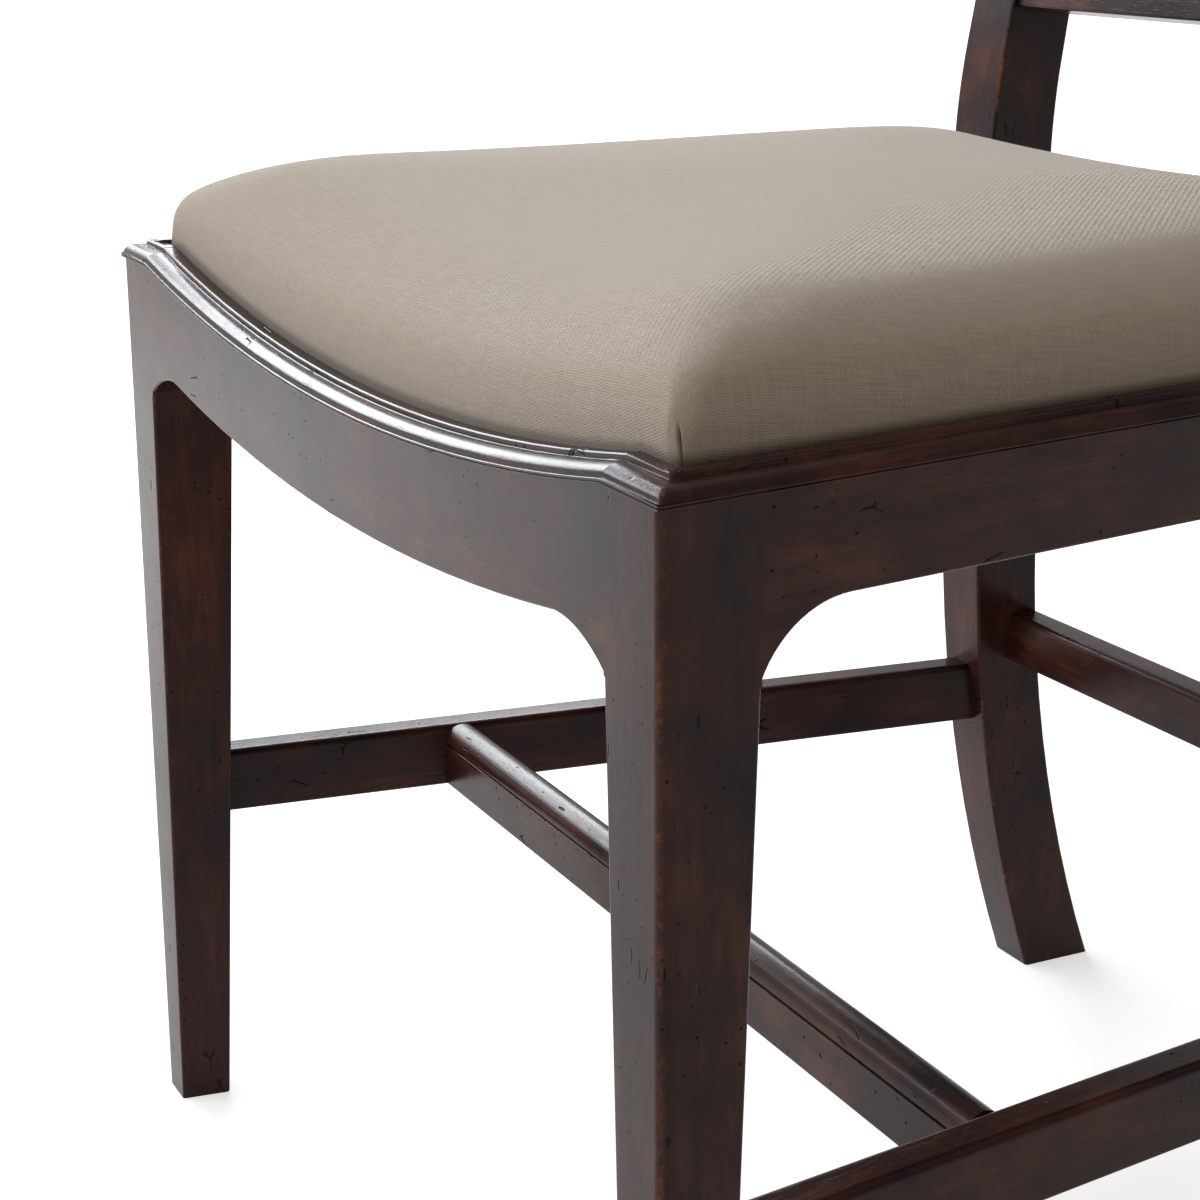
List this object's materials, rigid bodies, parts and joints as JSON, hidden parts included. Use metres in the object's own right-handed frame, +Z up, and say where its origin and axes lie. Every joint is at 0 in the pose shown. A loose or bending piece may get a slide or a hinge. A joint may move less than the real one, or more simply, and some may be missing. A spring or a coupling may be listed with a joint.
{
  "type": "trellis back side chair",
  "caption": "Wooden side chair with a dished slip seat in a moulded frame, square tapered front legs, swept rear legs, stretchers and a diagonal lattice back.",
  "frame": {"origin": "on the floor, under the middle of the overall box", "axes": "+X to the right as seen from the front, -Y to the front, +Z up"},
  "size_m": [0.5622, 0.5608, 0.9889],
  "materials": {
    "show_wood": "dark brown semi-gloss polish with lighter rubbed edges",
    "inner_wood": "bare planed hardwood",
    "screws": "plain steel",
    "webbing": "woven jute",
    "dust_cover": "black cambric",
    "stuffing": "foam and wadding",
    "cover": "plain taupe twill"
  },
  "bodies": {
    "root": {"front_leg_left": "show_wood", "rear_leg_left": "show_wood", "side_rail_left": "show_wood", "side_stretcher_left": "show_wood", "front_leg_right": "show_wood", "rear_leg_right": "show_wood", "side_rail_right": "show_wood", "side_stretcher_right": "show_wood", "front_rail": "show_wood", "rear_rail": "show_wood", "cross_stretcher": "show_wood", "rear_stretcher": "show_wood", "top_rail": "show_wood", "lower_back_rail": "show_wood", "lattice_rising_bar_1": "show_wood", "lattice_rising_bar_2": "show_wood", "lattice_rising_bar_3": "show_wood", "lattice_rising_bar_4": "show_wood", "lattice_rising_bar_5": "show_wood", "lattice_rising_bar_6": "show_wood", "lattice_rising_bar_7": "show_wood", "lattice_falling_bar_1": "show_wood", "lattice_falling_bar_2": "show_wood", "lattice_falling_bar_3": "show_wood", "lattice_falling_bar_4": "show_wood", "lattice_falling_bar_5": "show_wood", "lattice_falling_bar_6": "show_wood", "lattice_falling_bar_7": "show_wood", "corner_block_front_left": "inner_wood", "corner_block_front_right": "inner_wood", "corner_block_rear_left": "inner_wood", "corner_block_rear_right": "inner_wood", "seat_frame_front": "inner_wood", "seat_frame_rear": "inner_wood", "seat_frame_left": "inner_wood", "seat_frame_right": "inner_wood", "seat_frame_dowels": "inner_wood", "corner_block_screws": "screws", "seat_screws": "screws", "seat_webbing": "webbing", "seat_dust_cover": "dust_cover", "seat_foam": "stuffing", "seat_cover": "cover"}
  },
  "joints": []
}
